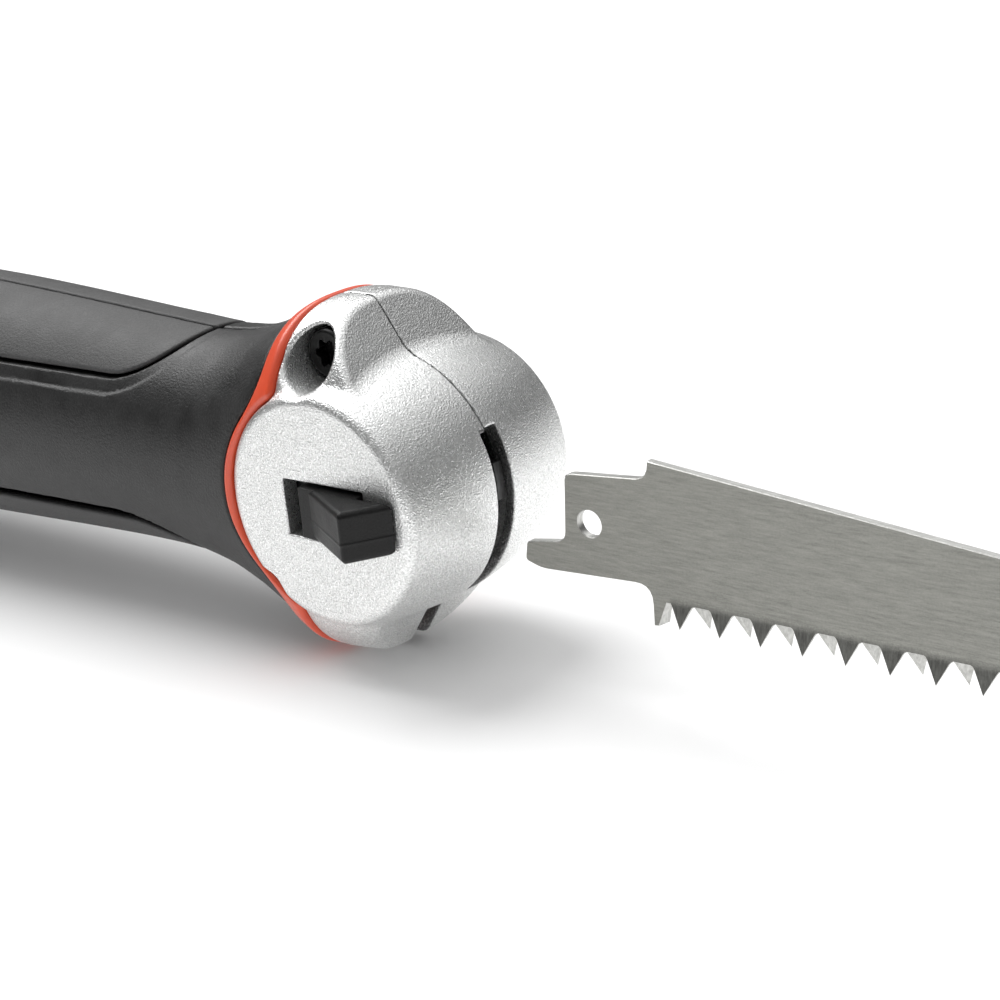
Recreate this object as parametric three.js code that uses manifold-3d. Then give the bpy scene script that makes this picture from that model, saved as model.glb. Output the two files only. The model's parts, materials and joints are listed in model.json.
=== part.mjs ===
// Drywall saw with a quick-change swivel head.
// Millimetres. +X runs from the handle to the blade tip, +Z is up, and the saw's
// right side, which carries the release slider, faces -Y. The model is drawn about
// the pivot axis of the head and moved at the end so that it stands on z = 0.

import * as THREE from 'three';
import { mergeVertices } from 'three/addons/utils/BufferGeometryUtils.js';
import Module from 'manifold-3d';

const wasm = await Module();
wasm.setup();

// ---------------------------------------------------------------- driving dimensions

const GAP = 0.3; // clearance between neighbouring pieces
const DEG = Math.PI / 180;

// Head casting: a crowned drum about Y, with two lobes behind it.
const DRUM_R = 16.8; // radius at the middle of its width
const DRUM_CROWN = 0.00983; // radius lost per mm squared away from the middle
const DRUM_RIGHT_Y = -15.36;
const DRUM_LEFT_Y = 16.2;
const DRUM_EDGE_R = 1.0; // rounding of the drum's two rims
const SEAM_Y = -0.44; // parting plane of the two castings

// Lobes: the collar's section carried forward over the drum, cut by a sloping front.
// A station is [x, top, bottom, half width, superellipse exponent of the section].
const LOBE_STATIONS = [
  [-14, 20.0, -20.0, 14.6, 2.55],
  [-6.5, 22.8, -22.5, 15.5, 2.65],
  [-1.0, 23.1, -22.4, 15.3, 2.65],
  [5.0, 22.9, -21.8, 14.4, 2.55],
];
const LOBE_FRONT = [[-20, 25], [-2.0, 25], [-0.9, 23.3], [-0.1, 22.5], [3.2, 17.2], [4.4, 15.4], [4.4, 0]];

// Blade slot round the front and underside of the head.
const SLOT_HALF_WIDTH = 1.53;
const SLOT_TOP_ANGLE = 28.7;
const SLOT_BOTTOM_ANGLE = -112;
const SLOT_OUTER_R = 28;
const SLOT_ROOM_R = 15.4; // the slot widens inside this radius
const SLOT_ROOM_HALF_WIDTH = 3.1;

// Swivel carrier inside the head.
const ROTOR_R = 12.6;
const ROTOR_POCKET_R = 13.2;
const ROTOR_POCKET_RIGHT_Y = -5.0;
const ROTOR_POCKET_LEFT_Y = 4.4;
const CHEEK_RIGHT_Y = [-4.0, -1.55];
const SPACER_Y = [-1.4, -0.3];
const CHEEK_LEFT_Y = [-0.15, 2.6];
const LIP_Y = [-0.15, 1.3];
const LIP_R = 15.6;
const LIP_ANGLES = [-4.4, 13];
const PIVOT_R = 2.4;
const PIVOT_Y = [-6.6, 9.0];
const BUSH_R = 3.3;
const RIVET_R = 1.3;
const RIVET_ORBIT_R = 10.3;
const RIVET_ANGLES = [66, 135, 225];
const INDEX_ANGLES = [180, 212.5, 245]; // notches for blade angles of 0, 32.5 and 65 degrees

// Blade with a universal half-inch shank.
const BLADE_Y = [-1.4, -0.3];
const HOLE = { x: 30.31, z: -1.31, r: 2.05 };
const SHANK_PITCH = 2.84;
const BLADE_TRAVEL = 22.0;
const TOOTH_PITCH = 2.67;
const TOOTH_DEPTH = 2.95;
const TOOTH_LINE = -11.03; // tip line, from the hole
const FIRST_TIP = 12.31;
const TOOTH_COUNT = 53;

// Release slider, cam and lock pin, in the right-hand casting.
const WINDOW = { x: [-5.28, 7.67], z: [-3.55, 3.65] };
const FACE_SKIN = 2.4;
const SLIDER_TRAVEL = 3.0;
const PIN_STROKE = 2.2;
const PIN_R = 1.7;
const PIN_FLANGE_R = 2.6;
const PIN_TOP_R = 0.8;
const PIN_TOP_Y = -8.6;
const MECHANISM_X = [-9.6, 12.6];
const MECHANISM_Z = 5.6;
const WEB_Y = -6.4;
const SLIDER_PLATE_Y = [-12.72, -11.3];
const RETAINER_Y = [-11.0, -10.2];

// Screws that close the head.
const HEAD_SCREWS = [
  { name: 'head_screw_top', x: -2.3, z: 17.6, headY: [-8.2, -5.4] },
  { name: 'head_screw_bottom', x: -11.0, z: -12.6, headY: [-6.0, -3.2] },
];
const SCREW_R = 1.9;
const SCREW_HEAD_R = 3.1;
const SCREW_RECESS_R = 3.5;
const SCREW_END_Y = 7.0;

// Handle: stations from the butt to the collar, as for the lobes.
const HANDLE_STATIONS = [
  [-138, 15.2, -15.6, 13.4, 2.2],
  [-136, 17.2, -17.8, 15.0, 2.2],
  [-131, 18.0, -18.4, 15.8, 2.2],
  [-120, 17.6, -16.4, 15.8, 2.2],
  [-106, 18.8, -16.0, 16.4, 2.2],
  [-92, 19.5, -15.9, 16.6, 2.2],
  [-78, 19.2, -15.4, 16.3, 2.2],
  [-64, 18.5, -14.9, 15.7, 2.2],
  [-50, 17.6, -14.4, 15.0, 2.2],
  [-38, 16.8, -14.1, 14.6, 2.2],
  [-29, 16.3, -14.3, 14.5, 2.2],
  [-22, 16.8, -15.7, 14.7, 2.2],
  [-16, 18.5, -17.9, 15.1, 2.3],
  [-11, 20.7, -20.3, 15.4, 2.5],
  [-6.5, 22.8, -22.6, 15.8, 2.65],
];
const SECTION_SIDES = 28;
// The collar's edges in the side view: a plane at x, and round the drum a circle of radius r.
const COLLAR_FRONT = { x: -6.5, r: 14.8 };
const COLLAR_REAR = { x: -9.5, r: 16.1 };
const COLLAR_WALL = 2.3;
const COLLAR_PROUD = 0.35;
const TANG = { x: [-47, -12], z: 7.0, y: 5.2 };
const PLUG_X = [-20, -4.8]; // the castings fill the inside of the collar
const TANG_PINS_X = [-25, -40];
const TANG_PIN_R = 1.6;
const HANDLE_SCREWS_X = [-60, -112];
const CAVITY_X = [-126, -53];
const CAVITY_WALL = 4.6;
const PAD_DEPTH = 1.6;
const SHELF_DEPTH = 0.55;
const SHELF_WIDTH = 1.7;

// ---------------------------------------------------------------- solids and shapes

/** Turns a closed three.js geometry into a manifold solid with its faces outwards. */
function solid(geometry) {
  const bare = geometry.clone();
  bare.deleteAttribute('normal');
  bare.deleteAttribute('uv');
  const merged = mergeVertices(bare, 1e-4);
  const vertProperties = Float32Array.from(merged.attributes.position.array);
  const triVerts = Uint32Array.from(merged.index.array);
  if (signedVolume(vertProperties, triVerts) < 0) {
    for (let i = 0; i < triVerts.length; i += 3) {
      [triVerts[i], triVerts[i + 1]] = [triVerts[i + 1], triVerts[i]];
    }
  }
  return new wasm.Manifold(new wasm.Mesh({ numProp: 3, vertProperties, triVerts }));
}

function signedVolume(vertices, triangles) {
  const corner = (i) => new THREE.Vector3().fromArray(vertices, 3 * triangles[i]);
  let sum = 0;
  for (let i = 0; i < triangles.length; i += 3) {
    sum += corner(i).dot(corner(i + 1).cross(corner(i + 2)));
  }
  return sum / 6;
}

/** Turns a manifold solid back into a three.js geometry, without slivers left by a cut. */
function toGeometry(manifold) {
  const bodies = manifold.decompose().filter((body) => Math.abs(body.volume()) > 0.01);
  const mesh = (bodies.length === 1 ? bodies[0] : manifold).getMesh();
  const geometry = new THREE.BufferGeometry();
  geometry.setAttribute('position', new THREE.BufferAttribute(Float32Array.from(mesh.vertProperties), 3));
  geometry.setIndex(new THREE.BufferAttribute(Uint32Array.from(mesh.triVerts), 1));
  geometry.computeVertexNormals();
  return geometry;
}

function box([x0, x1], [y0, y1], [z0, z1]) {
  const geometry = new THREE.BoxGeometry(x1 - x0, y1 - y0, z1 - z0);
  geometry.translate((x0 + x1) / 2, (y0 + y1) / 2, (z0 + z1) / 2);
  return solid(geometry);
}

/** A round bar along Y. */
function barY(radius, [y0, y1], x = 0, z = 0, sides = 20) {
  const geometry = new THREE.CylinderGeometry(radius, radius, y1 - y0, sides);
  geometry.translate(x, (y0 + y1) / 2, z);
  return solid(geometry);
}

/** A ring about Y. */
function ringY(inner, outer, y, x = 0, z = 0, sides = 28) {
  const bore = barY(inner, [y[0] - 1, y[1] + 1], x, z, sides);
  return barY(outer, y, x, z, sides).subtract(bore);
}

/** A shape drawn in the side view, x right and z up, extruded along Y. */
function prismY(shape, [y0, y1], curveSegments = 8) {
  const geometry = new THREE.ExtrudeGeometry(shape, { depth: y1 - y0, bevelEnabled: false, curveSegments });
  geometry.rotateX(Math.PI / 2);
  geometry.translate(0, y1, 0);
  return solid(geometry);
}

/** A shape drawn in the top view, x right and y up, extruded along Z. */
function prismZ(shape, [z0, z1]) {
  const geometry = new THREE.ExtrudeGeometry(shape, { depth: z1 - z0, bevelEnabled: false });
  geometry.translate(0, 0, z0);
  return solid(geometry);
}

function polygon(points) {
  return new THREE.Shape(points.map(([x, y]) => new THREE.Vector2(x, y)));
}

/** A body turned about a line parallel to Y; profile points are [radius, y]. */
function turned(profile, sides, x = 0, z = 0) {
  const geometry = new THREE.LatheGeometry(profile.map(([r, y]) => new THREE.Vector2(r, y)), sides);
  geometry.translate(x, 0, z);
  return solid(geometry);
}

/** The part of a ring between two angles, measured from +X towards +Z. */
function sectorShape(inner, outer, from, to) {
  const shape = new THREE.Shape();
  shape.absarc(0, 0, outer, from * DEG, to * DEG, false);
  shape.absarc(0, 0, inner, to * DEG, from * DEG, true);
  shape.closePath();
  return shape;
}

function polar(radius, angle) {
  return { x: radius * Math.cos(angle * DEG), z: radius * Math.sin(angle * DEG) };
}

/** A coil spring along Y, as one closed tube. */
function spring(radius, wire, turns, [y0, y1], x, z) {
  class Helix extends THREE.Curve {
    getPoint(t, target = new THREE.Vector3()) {
      const angle = 2 * Math.PI * turns * t;
      const y = y0 + wire + (y1 - y0 - 2 * wire) * t;
      return target.set(x + radius * Math.cos(angle), y, z + radius * Math.sin(angle));
    }
  }
  const section = new THREE.Shape();
  section.absarc(0, 0, wire, 0, 2 * Math.PI, false);
  const options = { steps: Math.round(12 * turns), extrudePath: new Helix(), curveSegments: 3 };
  return solid(new THREE.ExtrudeGeometry(section, options));
}

// ---------------------------------------------------------------- handle form

/** Catmull-Rom steps through the handle's stations. */
function smoothStations(stations, steps) {
  const rows = [];
  for (let i = 0; i < stations.length - 1; i += 1) {
    const [p0, p1, p2, p3] = [i - 1, i, i + 1, i + 2].map(
      (k) => stations[THREE.MathUtils.clamp(k, 0, stations.length - 1)],
    );
    for (let s = 0; s < steps; s += 1) {
      rows.push(p1.map((_, k) => catmullRom(s / steps, p0[k], p1[k], p2[k], p3[k])));
    }
  }
  rows.push(stations.at(-1));
  return rows;
}

function catmullRom(t, a, b, c, d) {
  const slopeIn = (c - a) / 2;
  const slopeOut = (d - b) / 2;
  const cubic = (2 * b - 2 * c + slopeIn + slopeOut) * t ** 3;
  return cubic + (-3 * b + 3 * c - 2 * slopeIn - slopeOut) * t ** 2 + slopeIn * t + b;
}

/** The handle's outer form, shrunk all round by inset. */
function handleForm(inset) {
  return loft(smoothStations(HANDLE_STATIONS, 1), inset);
}

/** A closed body through superellipse sections along X. */
function loft(rows, inset = 0) {
  const points = [];
  for (const [x, top, bottom, width, exponent] of rows) {
    for (let k = 0; k < SECTION_SIDES; k += 1) {
      points.push(...sectionPoint(x, top - inset, bottom + inset, width - inset, exponent, k));
    }
  }
  const last = rows.length - 1;
  const ends = [0, last].map((i) => [rows[i][0], 0, (rows[i][1] + rows[i][2]) / 2]);
  points.push(...ends.flat());
  return solid(loftGeometry(points, rows.length));
}

function sectionPoint(x, top, bottom, width, exponent, k) {
  const angle = (2 * Math.PI * k) / SECTION_SIDES;
  const power = 2 / exponent;
  const c = Math.sign(Math.cos(angle)) * Math.abs(Math.cos(angle)) ** power;
  const s = Math.sign(Math.sin(angle)) * Math.abs(Math.sin(angle)) ** power;
  return [x, width * c, (top + bottom) / 2 + ((top - bottom) / 2) * s];
}

function loftGeometry(points, rowCount) {
  const faces = [];
  const firstEnd = rowCount * SECTION_SIDES;
  for (let k = 0; k < SECTION_SIDES; k += 1) {
    const next = (k + 1) % SECTION_SIDES;
    for (let i = 0; i < rowCount - 1; i += 1) {
      const a = i * SECTION_SIDES;
      const b = a + SECTION_SIDES;
      faces.push(a + k, b + k, b + next, a + k, b + next, a + next);
    }
    const lastRow = (rowCount - 1) * SECTION_SIDES;
    faces.push(firstEnd, k, next, firstEnd + 1, lastRow + next, lastRow + k);
  }
  const geometry = new THREE.BufferGeometry();
  geometry.setAttribute('position', new THREE.Float32BufferAttribute(points, 3));
  geometry.setIndex(faces);
  return geometry;
}

/** Everything in front of one of the collar's edges, moved back by offset. */
function frontZone({ x, r }, offset = 0) {
  const edge = x - offset;
  const radius = r + offset;
  const half = Math.sqrt(radius ** 2 - edge ** 2);
  const start = Math.atan2(half, edge);
  const shape = new THREE.Shape();
  shape.moveTo(40, 40);
  shape.lineTo(edge, 40);
  shape.lineTo(edge, half);
  shape.absarc(0, 0, radius, start, 2 * Math.PI - start, false);
  shape.lineTo(edge, -40);
  shape.lineTo(40, -40);
  shape.closePath();
  return prismY(shape, [-40, 40], 14);
}

// ---------------------------------------------------------------- head castings

/** The drum's profile: flat sides, rounded rims and a crowned rim surface. */
function drumProfile() {
  const radiusAt = (y) => DRUM_R - DRUM_CROWN * y ** 2;
  const profile = [[0, DRUM_RIGHT_Y]];
  const rim = (y, side) => {
    const inner = radiusAt(y) - DRUM_EDGE_R;
    for (let i = 0; i <= 3; i += 1) {
      const angle = (side < 0 ? i : 3 - i) * 30 * DEG;
      const lift = DRUM_EDGE_R * (1 - Math.cos(angle));
      profile.push([inner + DRUM_EDGE_R * Math.sin(angle), y - side * lift]);
    }
  };
  rim(DRUM_RIGHT_Y, -1);
  for (let y = -12; y <= 12; y += 4) {
    profile.push([radiusAt(y), y]);
  }
  rim(DRUM_LEFT_Y, 1);
  profile.push([0, DRUM_LEFT_Y]);
  return profile;
}

/** The two lobes, above and below, as one body. */
function lobes() {
  const mirrored = LOBE_FRONT.slice(0, -1).reverse().map(([x, z]) => [x, -z]);
  const side = prismY(polygon([...LOBE_FRONT, ...mirrored]), [-40, 40]);
  return loft(LOBE_STATIONS).intersect(side);
}

/** Both castings as one body, before they are hollowed and parted. */
function headBlank() {
  const outer = turned(drumProfile(), 40).add(lobes());
  const visible = frontZone(COLLAR_FRONT, -GAP).intersect(outer);
  const plug = handleForm(COLLAR_WALL + GAP).intersect(box(PLUG_X, [-40, 40], [-40, 40]));
  const tang = box(TANG.x, [-TANG.y, TANG.y], [-TANG.z, TANG.z]);
  return visible.add(plug).add(tang);
}

function bladeSlot() {
  const shape = sectorShape(ROTOR_R - 1, SLOT_OUTER_R, SLOT_BOTTOM_ANGLE, SLOT_TOP_ANGLE);
  const room = sectorShape(ROTOR_R - 1, SLOT_ROOM_R, SLOT_BOTTOM_ANGLE, SLOT_TOP_ANGLE);
  const slot = prismY(shape, [-SLOT_HALF_WIDTH, SLOT_HALF_WIDTH], 14);
  return slot.add(prismY(room, [-SLOT_ROOM_HALF_WIDTH, SLOT_ROOM_HALF_WIDTH], 14));
}

function screwHole(screw) {
  const recess = barY(SCREW_RECESS_R, [-30, screw.headY[1] + GAP], screw.x, screw.z);
  const shank = barY(SCREW_R + GAP, [screw.headY[0], SCREW_END_Y + GAP], screw.x, screw.z, 24);
  return recess.add(shank);
}

/** Everything cut out of both castings. */
function headCuts() {
  const pocket = barY(ROTOR_POCKET_R, [ROTOR_POCKET_RIGHT_Y, ROTOR_POCKET_LEFT_Y], 0, 0, 40);
  const pivot = barY(PIVOT_R + GAP, [WEB_Y - 1, PIVOT_Y[1] + GAP]);
  const plunger = barX(1.5 + GAP, [-21.5, -12], 1.2);
  let cuts = bladeSlot().add(pocket).add(pivot).add(plunger).add(mechanismCuts());
  for (const screw of HEAD_SCREWS) {
    cuts = cuts.add(screwHole(screw));
  }
  for (const x of TANG_PINS_X) {
    cuts = cuts.add(barY(TANG_PIN_R + GAP, [-20, 20], x, 0, 24));
  }
  return cuts;
}

/** A round bar along X at height z = 0. */
function barX(radius, [x0, x1], y, sides = 16) {
  const geometry = new THREE.CylinderGeometry(radius, radius, x1 - x0, sides);
  geometry.rotateZ(Math.PI / 2);
  geometry.translate((x0 + x1) / 2, y, 0);
  return solid(geometry);
}

/** The slider's window, the room behind it, and the lock pin's curved path in the web. */
function mechanismCuts() {
  const skinY = DRUM_RIGHT_Y + FACE_SKIN;
  const window = box(WINDOW.x, [DRUM_RIGHT_Y - 5, skinY + 1], WINDOW.z);
  const room = box(MECHANISM_X, [skinY, WEB_Y], [-MECHANISM_Z, MECHANISM_Z]);
  const orbit = Math.hypot(lockPin.x, lockPin.z);
  const sweep = sectorShape(orbit - 3.1, orbit + 3.1, -112, 8);
  const path = prismY(sweep, [skinY + 2.7, ROTOR_POCKET_RIGHT_Y + 1]);
  return window.add(room).add(path);
}

function headHalf(side) {
  const keep = side < 0 ? [-40, SEAM_Y - GAP / 2] : [SEAM_Y + GAP / 2, 40];
  return headBlank().subtract(headCuts()).intersect(box([-60, 40], keep, [-40, 40]));
}

function headScrew(screw) {
  const head = barY(SCREW_HEAD_R, screw.headY, screw.x, screw.z, 24);
  const shank = barY(SCREW_R, [screw.headY[1] - 1, SCREW_END_Y], screw.x, screw.z, 20);
  const drive = new THREE.Shape();
  for (let k = 0; k < 12; k += 1) {
    const point = polar(k % 2 === 0 ? 1.75 : 1.2, 30 * k);
    drive[k === 0 ? 'moveTo' : 'lineTo'](screw.x + point.x, screw.z + point.z);
  }
  drive.closePath();
  return head.add(shank).subtract(prismY(drive, [screw.headY[0] - 1, screw.headY[0] + 1.6]));
}

// ---------------------------------------------------------------- swivel carrier

/** Where the blade's hole, and so the lock pin, is once the blade is pushed home. */
const lockPin = {
  x: HOLE.x - BLADE_TRAVEL * Math.cos(SHANK_PITCH * DEG),
  z: HOLE.z - BLADE_TRAVEL * Math.sin(SHANK_PITCH * DEG),
};

function rivetHoles(y) {
  const holes = RIVET_ANGLES.map((angle) => {
    const { x, z } = polar(RIVET_ORBIT_R, angle);
    return barY(RIVET_R + GAP, [y[0] - 1, y[1] + 1], x, z, 20);
  });
  return holes.reduce((all, hole) => all.add(hole));
}

function cheekBlank(y) {
  const hub = barY(BUSH_R + GAP, [y[0] - 1, y[1] + 1]);
  const pin = barY(PIN_R + GAP, [y[0] - 1, y[1] + 1], lockPin.x, lockPin.z, 24);
  return barY(ROTOR_R, y, 0, 0, 40).subtract(hub).subtract(pin).subtract(rivetHoles(y));
}

/** The left cheek also carries the lip seen in the slot and the index notches. */
function cheekLeft() {
  const lip = prismY(sectorShape(ROTOR_R - 1, LIP_R, LIP_ANGLES[0], LIP_ANGLES[1]), LIP_Y);
  let cheek = cheekBlank(CHEEK_LEFT_Y).add(lip);
  for (const angle of INDEX_ANGLES) {
    const { x, z } = polar(ROTOR_R + 0.7, angle);
    cheek = cheek.subtract(barY(1.5, [CHEEK_LEFT_Y[0] - 1, CHEEK_LEFT_Y[1] + 1], x, z, 20));
  }
  return cheek;
}

/** The sheet between the cheeks, open at the front for the shank and its tongue. */
function bladeSpacer() {
  const mouth = box([-3.4, 20], [-3, 2], [-9.6, 5.4]);
  return cheekBlank(SPACER_Y).subtract(mouth);
}

function rivet(angle) {
  const { x, z } = polar(RIVET_ORBIT_R, angle);
  return barY(RIVET_R, [CHEEK_RIGHT_Y[0] + 0.05, CHEEK_LEFT_Y[1] - 0.05], x, z, 20);
}

// ---------------------------------------------------------------- blade

/** The blade's side outline about its hole, with teeth along the lower edge. */
function bladeShape() {
  const shape = new THREE.Shape();
  shape.moveTo(-2.72, 5.95);
  shape.lineTo(-3.15, 5.5);
  shape.lineTo(-4.68, -2.93);
  shape.lineTo(-9.86, -3.83);
  shape.lineTo(-10.31, -5.93);
  shape.lineTo(-7.96, -6.53);
  shape.lineTo(6.04, -6.03);
  shape.quadraticCurveTo(8.6, -6.1, 8.64, -8.63);
  shape.lineTo(8.54, -11.33);
  shape.lineTo(10.74, TOOTH_LINE);
  for (let k = 0; k < TOOTH_COUNT; k += 1) {
    const tip = FIRST_TIP + TOOTH_PITCH * k;
    shape.lineTo(tip - 0.62 * TOOTH_PITCH, TOOTH_LINE + TOOTH_DEPTH);
    shape.lineTo(tip, TOOTH_LINE);
  }
  const endX = FIRST_TIP + TOOTH_PITCH * TOOTH_COUNT;
  shape.lineTo(endX - 1.2, TOOTH_LINE + TOOTH_DEPTH);
  shape.lineTo(endX + 6.5, backEdge(endX + 6.5) - 1.6);
  shape.lineTo(endX + 5.5, backEdge(endX + 5.5));
  shape.lineTo(9.68, backEdge(9.68));
  shape.lineTo(8.6, 8.5);
  shape.lineTo(7.18, 6.8);
  shape.closePath();
  const hole = new THREE.Path();
  hole.absarc(0, 0, HOLE.r, 0, 2 * Math.PI, true);
  shape.holes.push(hole);
  return shape;
}

function backEdge(x) {
  return 9.07 - (x - 9.68) * Math.tan(5.8 * DEG);
}

// ---------------------------------------------------------------- slider and lock pin

function sliderPiece() {
  const face = DRUM_RIGHT_Y - GAP;
  const thumb = polygon([
    [-2.2, SLIDER_PLATE_Y[0] + 0.3],
    [-1.1, face - 0.1],
    [8.4, -20.85],
    [9.2, -20.75],
    [12.3, face - 0.35],
    [12.2, face],
    [WINDOW.x[1] - GAP, face],
    [WINDOW.x[1] - GAP, SLIDER_PLATE_Y[0] + 0.3],
  ]);
  const plate = box([-6.3, 12.0], SLIDER_PLATE_Y, [-5.0, 5.0]);
  return prismZ(thumb, [-3.2, 3.25]).add(plate).add(sliderCam());
}

/** The ramp behind the slider that pushes the lock pin in as the slider is drawn back. */
function sliderCam() {
  const low = PIN_TOP_Y - GAP;
  const start = lockPin.x + PIN_TOP_R;
  const end = 12.0;
  const high = low + ((end - start) * PIN_STROKE) / SLIDER_TRAVEL;
  const root = SLIDER_PLATE_Y[1] - 0.3;
  const profile = polygon([[4.8, root], [4.8, low], [start, low], [end, high], [end, root]]);
  return prismZ(profile, [-3.0, 3.0]);
}

function sliderRetainer() {
  const plate = box([MECHANISM_X[0] + GAP, MECHANISM_X[1] - GAP], RETAINER_Y, [-5.3, 5.3]);
  return plate.subtract(box([1.4, 20], [-20, 0], [-3.4, 3.4]));
}

/** A bent steel strip that clicks against the slider's plate. */
function sliderLeaf() {
  const strip = polygon([
    [-9.2, -9.9], [-5.2, -9.9], [-2.6, -8.7], [-0.4, -9.9], [1.2, -9.9],
    [1.2, -9.5], [-0.3, -9.5], [-2.6, -8.3], [-5.3, -9.5], [-9.2, -9.5],
  ]);
  return prismZ(strip, [-1.6, 1.6]);
}

function lockPinPiece() {
  const { x, z } = lockPin;
  const tip = SPACER_Y[0] - GAP;
  return turned([
    [0, PIN_TOP_Y],
    [PIN_TOP_R, PIN_TOP_Y],
    [PIN_FLANGE_R - 0.5, PIN_TOP_Y + 1.3],
    [PIN_FLANGE_R - 0.5, PIN_TOP_Y + 1.6],
    [PIN_FLANGE_R, PIN_TOP_Y + 1.6],
    [PIN_FLANGE_R, PIN_TOP_Y + 2.4],
    [PIN_R, PIN_TOP_Y + 2.4],
    [PIN_R, tip - 0.4],
    [PIN_R - 0.4, tip],
    [0, tip],
  ], 20, x, z);
}

// ---------------------------------------------------------------- handle pieces

/** The outline of the upper pads: long, with rounded front and rear ends. */
function topPadZone(grow) {
  const low = 11.7 - grow;
  const front = -29 + grow;
  const rear = -128 - grow;
  const shape = new THREE.Shape();
  shape.moveTo(rear, 30);
  shape.lineTo(rear, 17);
  shape.quadraticCurveTo(rear + 1, low, rear + 12, low);
  shape.lineTo(front - 10, low);
  shape.bezierCurveTo(front - 6, low, front - 3, low + 3, front, 17);
  shape.lineTo(front, 30);
  shape.closePath();
  return prismY(shape, [-30, 30], 8);
}

/** The outline of the lower pads. */
function bottomPadZone(grow) {
  const high = -8 + grow;
  const front = -29 + grow;
  const rear = -128 - grow;
  const shape = new THREE.Shape();
  shape.moveTo(rear, -30);
  shape.lineTo(front, -30);
  shape.lineTo(front, -15);
  shape.quadraticCurveTo(front - 1.5, high, front - 8, high);
  shape.lineTo(rear + 10, high);
  shape.quadraticCurveTo(rear + 1, high, rear, -14);
  shape.closePath();
  return prismY(shape, [-30, 30], 8);
}

function sideHalf(side) {
  return box([-160, 60], side < 0 ? [-40, -GAP / 2] : [GAP / 2, 40], [-40, 40]);
}

function handleShell(side) {
  const outside = handleForm(-2);
  const skin = outside.subtract(handleForm(PAD_DEPTH + GAP));
  const thinSkin = outside.subtract(handleForm(SHELF_DEPTH));
  const pockets = skin.intersect(topPadZone(GAP).add(bottomPadZone(GAP)));
  const shelves = thinSkin.intersect(topPadZone(SHELF_WIDTH).add(bottomPadZone(SHELF_WIDTH)));
  const shell = handleForm(0).subtract(frontZone(COLLAR_REAR, GAP)).subtract(handleHollow());
  return shell.subtract(pockets.add(shelves)).intersect(sideHalf(side));
}

/** The tang's socket, the hollow grip, and the holes for pins and screws. */
function handleHollow() {
  const reach = TANG.x[0] - GAP;
  const socket = box([reach, 0], [-TANG.y - GAP, TANG.y + GAP], [-TANG.z - GAP, TANG.z + GAP]);
  const mouth = box([PLUG_X[0] - GAP, 0], [-40, 40], [-40, 40]);
  let hollow = handleForm(CAVITY_WALL).intersect(box(CAVITY_X, [-40, 40], [-40, 40]));
  for (const x of HANDLE_SCREWS_X) {
    hollow = hollow.subtract(barY(3.6, [-20, 20], x, 0, 24));
  }
  hollow = hollow.add(socket).add(mouth.intersect(handleForm(COLLAR_WALL)));
  for (const x of TANG_PINS_X) {
    hollow = hollow.add(barY(TANG_PIN_R + GAP, [-9.8, 9.8], x, 0, 24));
  }
  for (const x of HANDLE_SCREWS_X) {
    hollow = hollow.add(barY(1.8, [-10, 20], x, 0, 20)).add(barY(3.3, [11.4, 30], x, 0, 24));
  }
  return hollow;
}

function gripPad(zone, side) {
  const skin = handleForm(0).subtract(handleForm(PAD_DEPTH));
  return skin.intersect(zone).intersect(sideHalf(side));
}

function handleScrew(x) {
  const head = barY(3.0, [11.7, 13.4], x, 0, 24);
  const shank = barY(1.5, [-9.7, 12], x, 0, 20);
  const slot = box([x - 2.2, x + 2.2], [12.6, 14], [-0.4, 0.4]);
  const cross = box([x - 0.4, x + 0.4], [12.6, 14], [-2.2, 2.2]);
  return head.add(shank).subtract(slot.add(cross));
}

function collarRing() {
  const outer = handleForm(-COLLAR_PROUD);
  const band = outer.intersect(frontZone(COLLAR_REAR)).subtract(frontZone(COLLAR_FRONT));
  return band.subtract(handleForm(COLLAR_WALL));
}

// ---------------------------------------------------------------- assembly

const finish = {
  casting: { color: 0xc9cbcc, roughness: 0.42, metalness: 0.85 },
  collar: { color: 0xd9431f, roughness: 0.35, metalness: 0.0 },
  nylon: { color: 0x232424, roughness: 0.55, metalness: 0.0 },
  rubber: { color: 0x3a3b3b, roughness: 0.7, metalness: 0.0 },
  steel: { color: 0x8f8d86, roughness: 0.38, metalness: 0.9 },
  darkSteel: { color: 0x3c3d3f, roughness: 0.45, metalness: 0.8 },
  blackScrew: { color: 0x17181a, roughness: 0.4, metalness: 0.8 },
};

const saw = new THREE.Group();

function place(name, manifold, look) {
  const mesh = new THREE.Mesh(toGeometry(manifold), new THREE.MeshStandardMaterial(finish[look]));
  mesh.name = name;
  saw.add(mesh);
}

place('head_half_right', headHalf(-1), 'casting');
place('head_half_left', headHalf(1), 'casting');
for (const screw of HEAD_SCREWS) {
  place(screw.name, headScrew(screw), 'blackScrew');
}

place('pivot_pin', barY(PIVOT_R, PIVOT_Y), 'steel');
place('washer_right', ringY(PIVOT_R + GAP, 5.6, [-4.7, -4.3]), 'steel');
place('washer_left', ringY(PIVOT_R + GAP, 7.5, [2.9, 3.4]), 'steel');
place('friction_washer', ringY(PIVOT_R + GAP, 6.8, [3.7, 4.1]), 'darkSteel');
place('index_plunger', barX(1.5, [-15.9, ROTOR_R * -1 - GAP], 1.2), 'steel');
place('index_spring_cup', barX(1.5, [-21.2, -16.8], 1.2), 'darkSteel');

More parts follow.
